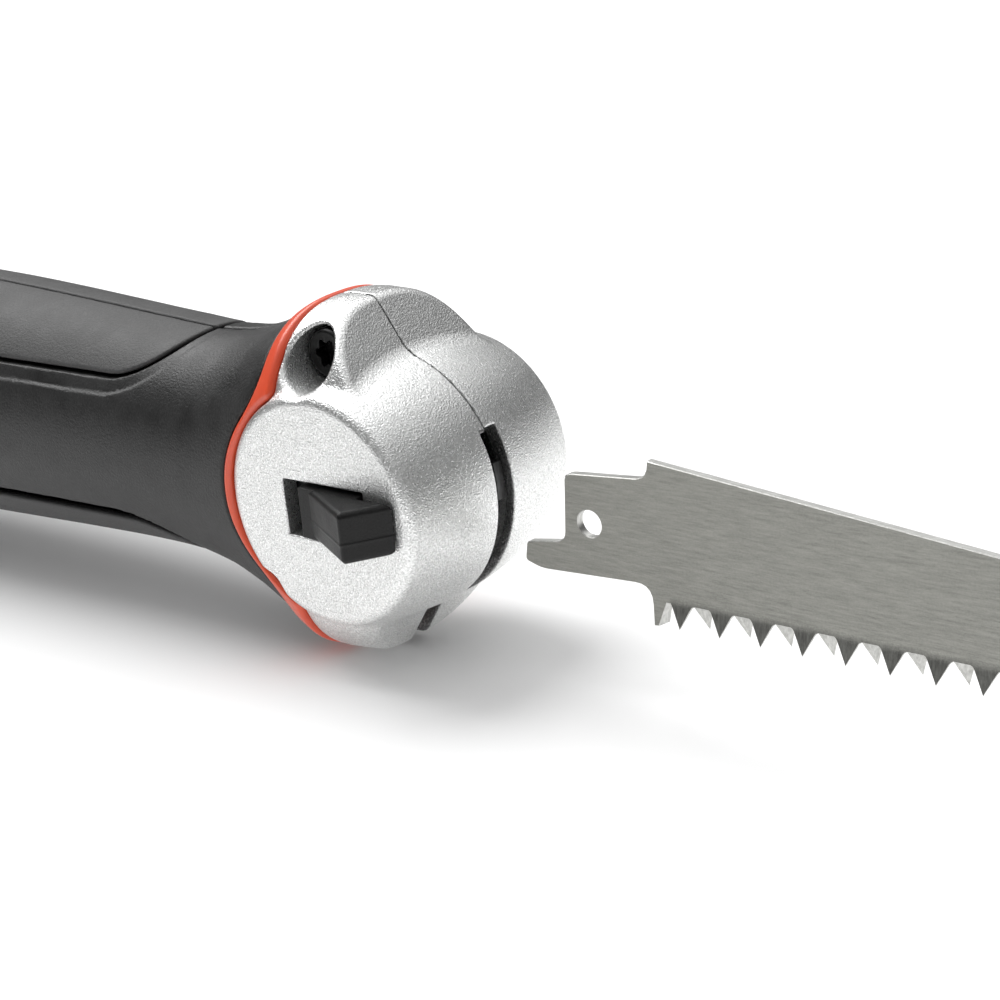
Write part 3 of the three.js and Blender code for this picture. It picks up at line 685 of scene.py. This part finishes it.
def inset(ring, amount):
    """Moves each point of a closed outline inwards."""
    points = [Vector((x, z)) for x, z, _ in ring]
    moved = []
    for i, (_, _, y) in enumerate(ring):
        before, here, after = points[i - 1], points[i], points[(i + 1) % len(points)]
        a, b = (here - before), (after - here)
        normal = Vector((a.y, -a.x)).normalized() + Vector((b.y, -b.x)).normalized()
        normal = normal.normalized() if normal.length > 1e-6 else Vector((0, 0))
        place = here - normal * amount
        moved.append((place.x, place.y, y))
    return moved


def blade():
    near, far = blade_rings()
    rings = [
        inset(near, BLADE_CHAMFER),
        [(x, z, y + BLADE_CHAMFER) for x, z, y in near],
        [(x, z, y - BLADE_CHAMFER) for x, z, y in far],
        inset(far, BLADE_CHAMFER),
    ]
    sides = 56
    circle = [(math.cos(2 * math.pi * k / sides), math.sin(2 * math.pi * k / sides)) for k in range(sides)]
    hole = [
        [(HOLE_SHIFT[0] + r * c, HOLE_SHIFT[1] + r * s, y) for c, s in circle]
        for r, y in (
            (HOLE_R + HOLE_CHAMFER, BLADE_Y[0]), (HOLE_R, BLADE_Y[0] + HOLE_CHAMFER),
            (HOLE_R, BLADE_Y[1] - HOLE_CHAMFER), (HOLE_R + HOLE_CHAMFER, BLADE_Y[1]),
        )
    ]
    vertices, faces = [], []
    starts = []
    for ring in rings + hole:
        starts.append(len(vertices))
        vertices += [(HOLE[0] + x, y, HOLE[1] + z) for x, z, y in ring]
    count = len(near)
    for i in range(3):
        faces += wall(starts[i], starts[i + 1], count)
        faces += [face[::-1] for face in wall(starts[4 + i], starts[5 + i], sides)]
    for ring, hole_ring, flip in ((0, 4, False), (3, 7, True)):
        outline = rings[ring]
        opening = hole[hole_ring - 4]
        triangles = tessellate_polygon([
            [Vector((x, z, 0)) for x, z, _ in outline],
            [Vector((x, z, 0)) for x, z, _ in opening],
        ])
        index = [starts[ring] + i for i in range(count)] + [starts[hole_ring] + i for i in range(sides)]
        for triangle in triangles:
            face = [index[i] for i in triangle]
            faces.append(face[::-1] if flip else face)
    mesh = bpy.data.meshes.new("blade_fine")
    mesh.from_pydata(to_row(vertices).tolist(), [], faces)
    mesh.update()
    mesh.shade_flat()
    return mesh


def coil(node, y_range, wire, turns, steps=28, sides=10):
    """A round-wire spring along y, as wide as a CAD node's box, with its end turns closed up."""
    low, high = box_mm(node)
    radius = (high[0] - low[0]) / 2 - wire
    centre = (low + high) / 2
    length = y_range[1] - y_range[0] - 2 * wire
    count = int(turns * steps) + 1
    vertices, faces = [], []
    for k in range(count):
        angle = 2 * math.pi * k / steps
        climb = np.interp(k / (count - 1), (0, 0.2, 0.8, 1), (0, 0.08, 0.92, 1))
        y = y_range[0] + wire + length * climb
        for j in range(sides):
            turn = 2 * math.pi * j / sides
            r = radius + wire * math.cos(turn)
            vertices.append((
                centre[0] + r * math.cos(angle), y + wire * math.sin(turn), centre[2] + r * math.sin(angle),
            ))
    for k in range(count - 1):
        faces += wall(k * sides, (k + 1) * sides, sides)
    faces.append(tuple(range(sides)))
    faces.append(tuple(reversed(range((count - 1) * sides, count * sides))))
    mesh = bpy.data.meshes.new(node + "_fine")
    mesh.from_pydata(to_row(vertices).tolist(), [], faces)
    mesh.update()
    mesh.shade_smooth()
    return mesh


def wall(first, second, count):
    return [
        (first + i, second + i, second + (i + 1) % count, first + (i + 1) % count)
        for i in range(count)
    ]


# ---------------------------------------------------------------- materials


class Look:
    """A Principled material and short ways to add nodes to it."""

    def __init__(self, name, **inputs):
        self.material = bpy.data.materials.new(name)
        self.material.use_nodes = True
        self.tree = self.material.node_tree
        self.shader = self.tree.nodes["Principled BSDF"]
        for key, value in inputs.items():
            self.shader.inputs[key.replace("_", " ")].default_value = value
        self.place = self.add("ShaderNodeTexCoord").outputs["Object"]
        self.bumped = None

    def add(self, kind, **settings):
        node = self.tree.nodes.new(kind)
        for key, value in settings.items():
            setattr(node, key, value)
        return node

    def link(self, source, target):
        self.tree.links.new(source, target)

    def stretched(self, x, y, z):
        node = self.add("ShaderNodeMapping")
        node.inputs["Scale"].default_value = (x, y, z)
        self.link(self.place, node.inputs["Vector"])
        return node.outputs["Vector"]

    def noise(self, size_mm, detail=2.0, roughness=0.5, vector=None):
        node = self.add("ShaderNodeTexNoise")
        node.inputs["Scale"].default_value = 1 / (size_mm * MM)
        node.inputs["Detail"].default_value = detail
        node.inputs["Roughness"].default_value = roughness
        self.link(vector or self.place, node.inputs["Vector"])
        return node.outputs["Fac"]

    def ramp(self, value, stops):
        """Maps a value through (position, colour) stops."""
        node = self.add("ShaderNodeValToRGB")
        elements = node.color_ramp.elements
        while len(elements) < len(stops):
            elements.new(0.5)
        for element, (position, colour) in zip(elements, stops):
            element.position = position
            element.color = (*colour, 1) if isinstance(colour, tuple) else (colour, colour, colour, 1)
        self.link(value, node.inputs["Fac"])
        return node.outputs["Color"]

    def scale(self, value, low, high, start=0.0, end=1.0):
        node = self.add("ShaderNodeMapRange")
        for key, number in (("From Min", start), ("From Max", end), ("To Min", low), ("To Max", high)):
            node.inputs[key].default_value = number
        self.link(value, node.inputs["Value"])
        return node.outputs["Result"]

    def maths(self, operation, a, b):
        node = self.add("ShaderNodeMath", operation=operation)
        for socket, value in zip(node.inputs, (a, b)):
            if isinstance(value, (int, float)):
                socket.default_value = value
            else:
                self.link(value, socket)
        return node.outputs[0]

    def axis(self, name, vector=None):
        node = self.add("ShaderNodeSeparateXYZ")
        self.link(vector or self.place, node.inputs[0])
        return node.outputs[name]

    def normal(self, name):
        return self.axis(name, self.add("ShaderNodeTexCoord").outputs["Normal"])

    def mix(self, factor, a, b, blend="MIX"):
        node = self.add("ShaderNodeMix", data_type="RGBA", blend_type=blend)
        sockets = (node.inputs["Factor"], node.inputs[6], node.inputs[7])
        for socket, value in zip(sockets, (factor, a, b)):
            if isinstance(value, (tuple, float, int)):
                socket.default_value = (*value, 1) if isinstance(value, tuple) else value
            else:
                self.link(value, socket)
        return node.outputs[2]

    def bump(self, height, depth_mm):
        node = self.add("ShaderNodeBump")
        node.inputs["Strength"].default_value = 1.0
        node.inputs["Distance"].default_value = depth_mm * MM
        self.link(height, node.inputs["Height"])
        if self.bumped:
            self.link(self.bumped, node.inputs["Normal"])
        self.bumped = node.outputs["Normal"]
        self.link(self.bumped, self.shader.inputs["Normal"])

    def set(self, name, socket):
        self.link(socket, self.shader.inputs[name])


def slot_wall(look):
    """1 on the walls of the blade slot, which are coloured as unpainted grey metal darkened by painted
    shade, and 0 elsewhere.
    """
    def across(direction):
        node = look.add("ShaderNodeVectorMath", operation="DOT_PRODUCT")
        node.inputs[1].default_value = direction
        look.link(look.place, node.inputs[0])
        return look.maths("SUBTRACT", node.outputs["Value"], float(np.dot(direction, ORIGIN)))

    start, end = (math.radians(a) for a in SLOT_ANGLES)
    below = look.maths("LESS_THAN", across((-math.sin(end), 0, math.cos(end))), 0.0)
    ahead = look.maths("LESS_THAN", across((math.sin(start), 0, -math.cos(start))), 0.0)
    width = look.maths("ABSOLUTE", across((0, 1, 0)), 0.0)
    narrow = look.scale(width, 1.0, 0.0, (SLOT_HALF_WIDTH + 0.03) * MM, (SLOT_HALF_WIDTH + 0.13) * MM)
    return look.maths("MULTIPLY", narrow, look.maths("MULTIPLY", below, ahead))


def cast_metal():
    look = Look("powder_coated_casting", Metallic=0.9)
    grain = look.noise(0.22, 1.5, 0.6)
    cloud = look.noise(2.2, 3.0)
    flecks = look.ramp(grain, [(0.3, (0.38, 0.385, 0.38)), (0.7, (0.94, 0.945, 0.94))])
    clouds = look.ramp(cloud, [(0.3, (0.68, 0.685, 0.68)), (0.7, (0.78, 0.785, 0.78))])
    # colour of the slot walls: unpainted grey metal, darkened as painted shade
    bare_shaded_metal = look.ramp(grain, [(0.35, (0.13, 0.13, 0.13)), (0.75, (0.44, 0.44, 0.44))])
    look.set("Base Color", look.mix(slot_wall(look), look.mix(0.3, flecks, clouds), bare_shaded_metal))
    look.set("Roughness", look.scale(grain, 0.4, 0.24, 0.3, 0.7))
    look.bump(grain, 0.115)
    return look.material


def collar_plastic():
    look = Look("collar_plastic")
    look.shader.inputs["Coat Weight"].default_value = 0.15
    look.shader.inputs["Coat Roughness"].default_value = 0.2
    tone = look.noise(3.0, 2.0)
    look.set("Base Color", look.ramp(tone, [(0.3, (0.66, 0.072, 0.028)), (0.7, (0.72, 0.088, 0.034))]))
    look.set("Roughness", look.scale(look.noise(0.8, 3.0), 0.28, 0.42, 0.3, 0.7))
    look.bump(look.noise(0.35, 2.0), 0.006)
    return look.material


def moulded(name, dark, light, roughness, grain_mm, depth_mm):
    """Moulded plastic or rubber with a fine grain, between two greys."""
    look = Look(name)
    grain = look.noise(grain_mm, 2.0, 0.6)
    cloud = look.noise(4.0, 3.0)
    stops = [(0.3, dark), (0.7, light)]
    tone = look.mix(0.5, look.ramp(grain, stops), look.ramp(cloud, stops))
    look.set("Base Color", tone)
    look.set("Roughness", look.scale(cloud, roughness - 0.05, roughness + 0.06, 0.3, 0.7))
    look.bump(grain, depth_mm)
    return look


def shell_nylon():
    look = moulded("shell_nylon", 0.006, 0.026, 0.46, 0.3, 0.07)
    look.shader.inputs["Specular IOR Level"].default_value = 0.4
    return look.material


def grip_rubber():
    look = moulded("grip_rubber", 0.028, 0.062, 0.62, 0.3, 0.1)
    ribs = look.noise(0.5, 2.0, 0.6, look.stretched(1.0, 0.25, 0.25))
    look.bump(ribs, 0.02)
    return look.material


def slider_nylon():
    look = moulded("slider_nylon", 0.003, 0.01, 0.4, 0.22, 0.05)
    look.shader.inputs["Specular IOR Level"].default_value = 0.25
    return look.material


def brushed_steel():
    """The blade's steel: brushed sides, with painted shade on the teeth and painted highlights on the cut
    edges, the downward tooth faces and the back.
    """
    look = Look("brushed_steel", Metallic=0.9)
    streaks = look.noise(0.3, 4.0, 0.75, look.stretched(0.1, 1.0, 1.0))
    ground = look.noise(0.3, 3.0, 0.7, look.stretched(1.0, 1.0, 0.08))
    grain = look.noise(0.25, 2.0, 0.7)
    tone = look.ramp(streaks, [(0.32, (0.13, 0.13, 0.119)), (0.68, (0.29, 0.29, 0.265))])
    speckle = look.ramp(grain, [(0.3, (0.16, 0.16, 0.147)), (0.7, (0.27, 0.27, 0.248))])
    body = look.mix(0.35, tone, speckle)
    # painted shade: below the gullet line and ahead of the heel the teeth are darkened, standing in for the
    # dark surroundings that they reflect
    edge = ORIGIN[2] + (HOLE[1] + GULLET_LINE) * MM
    height = look.maths("ADD", look.axis("Z"), look.scale(grain, -0.0004, 0.0004))
    below = look.scale(height, 1.0, 0.0, edge - 0.2 * MM, edge + 0.9 * MM)
    heel = ORIGIN[0] + (HOLE[0] + 10.2) * MM
    teeth = look.maths("MULTIPLY", below, look.scale(look.axis("X"), 0.0, 1.0, heel, heel + 0.4 * MM))
    dark = look.ramp(ground, [(0.3, (0.06, 0.06, 0.056)), (0.7, (0.125, 0.125, 0.117))])
    body = look.mix(teeth, body, dark)
    # painted highlights: faces turned edgewise and tooth faces turned downwards are lightened, standing in
    # for reflected light
    sideways = look.scale(look.maths("ABSOLUTE", look.normal("Y"), 0.0), 1.0, 0.0, 0.72, 0.97)
    facet = look.scale(look.normal("Z"), 1.0, 0.0, -0.26, -0.14)
    painted_edge_highlight = look.ramp(ground, [(0.3, (0.34, 0.34, 0.325)), (0.7, (0.56, 0.56, 0.54))])
    body = look.mix(look.maths("MAXIMUM", sideways, facet), body, painted_edge_highlight)
    # painted highlight: faces turned upwards, chiefly the blade's back, are lightened
    back = look.scale(look.normal("Z"), 0.0, 1.0, 0.8, 0.97)
    look.set("Base Color", look.mix(back, body, (0.62, 0.62, 0.6)))
    look.set("Roughness", look.scale(streaks, 0.3, 0.46, 0.3, 0.7))
    look.bump(streaks, 0.012)
    look.bump(grain, 0.008)
    return look.material


def turned_steel(name, dark, light, roughness):
    look = Look(name, Metallic=0.9)
    rings = look.noise(0.3, 4.0, 0.6, look.stretched(0.3, 1.0, 0.3))
    look.set("Base Color", look.ramp(rings, [(0.3, dark), (0.7, light)]))
    look.set("Roughness", look.scale(rings, roughness - 0.08, roughness + 0.1, 0.3, 0.7))
    look.bump(rings, 0.01)
    return look.material


looks = {
    "casting": cast_metal(),
    "collar": collar_plastic(),
    "nylon": shell_nylon(),
    "grip": grip_rubber(),
    "slider": slider_nylon(),
    "blade": brushed_steel(),
    "steel": turned_steel("bright_steel", 0.34, 0.5, 0.32),
    "dark_steel": turned_steel("blackened_steel", 0.05, 0.1, 0.4),
    "black_screw": turned_steel("black_screw_steel", 0.012, 0.03, 0.35),
}

# ---------------------------------------------------------------- the saw's pieces

HEAD_BOX = {
    "right": ((-48, -16.4, -24.2), (18.2, 0.4, 24.6)),
    "left": ((-48, -1.2, -24.2), (18.2, 17.2, 24.6)),
}
for word, side in SIDES:
    low, high = HEAD_BOX[word]
    carve("head_half_" + word, head_half(side), low, high, 0.28, looks["casting"])

for name, (centre, head_y) in HEAD_SCREWS.items():
    low = (centre[0] - 3.8, head_y[0] - 0.7, centre[1] - 3.8)
    high = (centre[0] + 3.8, SCREW_END_Y + 0.7, centre[1] + 3.8)
    carve(name, head_screw(centre, head_y), low, high, 0.14, looks["black_screw"])

carve("collar_ring", collar, (-18, -17.5, -24.5), (-4, 17.5, 25), 0.22, looks["collar"])
carve("release_slider", slider, (-7, -21.8, -5.8), (13.4, -6, 5.8), 0.16, looks["slider"])

for word, side in SIDES:
    y_range = (-18.2, 0.6) if side < 0 else (-0.6, 18.2)
    low, high = (-139, y_range[0], -20.5), (-8, y_range[1], 22.6)
    carve("handle_shell_" + word, handle_shell(side), low, high, 0.42, looks["nylon"])
    for place, zone in (("top", top_pad_zone), ("bottom", bottom_pad_zone)):
        z_range = (8, 21) if place == "top" else (-20.5, -6)
        low, high = (-130, y_range[0], z_range[0]), (-24, y_range[1], z_range[1])
        carve(f"grip_{place}_{word}", grip_pad(zone, side), low, high, 0.36, looks["grip"])

for k, screw_x in enumerate(HANDLE_SCREWS_X):
    low, high = (screw_x - 3.6, -10.4, -3.6), (screw_x + 3.6, 14.2, 3.6)
    field = handle_screw(screw_x)
    carve(f"handle_screw_{k + 1}", field, low, high, 0.16, looks["black_screw"])

dress(new_object("blade_fine", blade()), "blade", looks["blade"])

pin_box = box_mm("lock_pin")
carve("lock_pin", lock_pin, pin_box[0] - 0.5, pin_box[1] + 0.5, 0.14, looks["steel"])

spring_y = (pin_box[0][1] + FLANGE_DEPTH[1] + 0.05, box_mm("lock_pin_spring")[1][1])
spring = new_object("lock_pin_spring_fine", coil("lock_pin_spring", spring_y, 0.2, 3))
dress(spring, "lock_pin_spring", looks["steel"])
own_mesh(spring)

STEEL_NODES = (
    "pivot_pin", "washer_right", "washer_left", "index_plunger", "pivot_bush", "carrier_rivet_1",
    "carrier_rivet_2", "carrier_rivet_3", "slider_retainer", "slider_leaf_spring", "tang_pin_1",
    "tang_pin_2",
)
DARK_STEEL_NODES = (
    "friction_washer", "index_spring_cup", "carrier_cheek_right", "carrier_cheek_left", "blade_spacer",
)
for slot, names in (("steel", STEEL_NODES), ("dark_steel", DARK_STEEL_NODES)):
    for name in names:
        node = frame["nodes"][name]
        node.data.materials.clear()
        node.data.materials.append(looks[slot])

# ---------------------------------------------------------------- floor, light and camera


def floor():
    """A pale light table, which gives the saw more light close by, and less far off, than it shows."""
    size = 6.0
    mesh = bpy.data.meshes.new("floor")
    corners = [(-size, -size, 0), (size, -size, 0), (size, size, 0), (-size, size, 0)]
    mesh.from_pydata(corners, [], [(0, 1, 2, 3)])
    look = Look("light_table", Roughness=0.9)
    look.shader.inputs["Specular IOR Level"].default_value = 0.1
    look.shader.inputs["Emission Color"].default_value = (1, 1, 1, 1)
    paper = look.ramp(look.noise(40, 3.0), [(0.3, 0.86), (0.7, 0.88)])
    seen = look.add("ShaderNodeLightPath").outputs["Is Camera Ray"]
    far = look.add("ShaderNodeVectorMath", operation="LENGTH")
    look.link(look.place, far.inputs[0])
    lit = look.maths("MAXIMUM", seen, look.scale(far.outputs["Value"], 1.0, 0.3, 0.15, 0.6))
    shown = look.maths("MULTIPLY", lit, look.scale(seen, 1.1, 0.93))
    look.set("Base Color", look.mix(1.0, paper, shown, "MULTIPLY"))
    look.set("Emission Strength", look.maths("MULTIPLY", lit, look.scale(seen, 0.2, 0.09)))
    mesh.materials.append(look.material)
    new_object("floor", mesh)


def soft_sun(name, toward, spread, strength):
    """A far softbox: light from a patch of sky spread degrees wide."""
    light = bpy.data.lights.new(name, "SUN")
    light.angle = math.radians(spread)
    light.energy = strength
    lamp = bpy.data.objects.new(name, light)
    bpy.context.scene.collection.objects.link(lamp)
    lamp.rotation_euler = Vector(toward).to_track_quat("Z", "Y").to_euler()


def world():
    """Bright overhead, dim at eye level, with a panel off the blade's tip. The camera sees it white."""
    scene_world = bpy.data.worlds.new("studio")
    bpy.context.scene.world = scene_world
    scene_world.use_nodes = True
    tree = scene_world.node_tree

    def node(kind, **settings):
        made = tree.nodes.new(kind)
        for key, value in settings.items():
            setattr(made, key, value)
        return made

    place = node("ShaderNodeTexCoord")
    parts = node("ShaderNodeSeparateXYZ")
    tree.links.new(place.outputs["Generated"], parts.inputs[0])
    sky = node("ShaderNodeValToRGB")
    stops = ((0.0, 0.04), (0.46, 0.11), (0.72, 0.66), (1.0, 1.0))
    elements = sky.color_ramp.elements
    while len(elements) < len(stops):
        elements.new(0.5)
    for element, (position, level) in zip(elements, stops):
        element.position = position
        element.color = (level, level, level, 1)
    tree.links.new(parts.outputs["Z"], sky.inputs["Fac"])
    panel = node("ShaderNodeMapRange", interpolation_type="SMOOTHSTEP")
    for key, number in (("From Min", 0.72), ("From Max", 1.0), ("To Min", 0.0), ("To Max", 0.06)):
        panel.inputs[key].default_value = number
    tree.links.new(parts.outputs["X"], panel.inputs["Value"])
    both = node("ShaderNodeVectorMath", operation="ADD")
    tree.links.new(sky.outputs["Color"], both.inputs[0])
    tree.links.new(panel.outputs["Result"], both.inputs[1])
    background = tree.nodes["Background"]
    background.inputs["Strength"].default_value = 1.15
    tree.links.new(both.outputs[0], background.inputs["Color"])
    backdrop = node("ShaderNodeBackground")
    backdrop.inputs["Color"].default_value = (1, 1, 1, 1)
    backdrop.inputs["Strength"].default_value = 1.05
    shown = node("ShaderNodeMixShader")
    tree.links.new(node("ShaderNodeLightPath").outputs["Is Camera Ray"], shown.inputs["Fac"])
    tree.links.new(background.outputs[0], shown.inputs[1])
    tree.links.new(backdrop.outputs[0], shown.inputs[2])
    tree.links.new(shown.outputs[0], tree.nodes["World Output"].inputs["Surface"])


def camera():
    azimuth, elevation, roll = (math.radians(a) for a in (40.07, 19.76, -5.44))
    target = np.array([16.07, -0.44, -0.91])
    distance = 245.8
    level = math.cos(elevation)
    back = Vector((math.sin(azimuth) * level, -math.cos(azimuth) * level, math.sin(elevation)))
    right = Vector((math.cos(azimuth), math.sin(azimuth), 0))
    up = back.cross(right)
    turned_right = right * math.cos(roll) + up * math.sin(roll)
    turned_up = up * math.cos(roll) - right * math.sin(roll)
    data = bpy.data.cameras.new("camera")
    data.sensor_width = 36
    data.lens = 73.51
    data.clip_start = 0.01
    data.clip_end = 30
    eye = bpy.data.objects.new("camera", data)
    bpy.context.scene.collection.objects.link(eye)
    turn = Matrix((turned_right, turned_up, back)).transposed()
    eye.matrix_world = Matrix.Translation(Vector(to_row(target + distance * np.array(back)))) @ turn.to_4x4()
    bpy.context.scene.camera = eye


floor()
world()
soft_sun("key", (-0.55, 0.1, 0.8), 50, 3.0)
soft_sun("rim", (-0.1, 0.7, 0.7), 40, 0.3)
camera()
bpy.context.scene.view_settings.view_transform = "Standard"
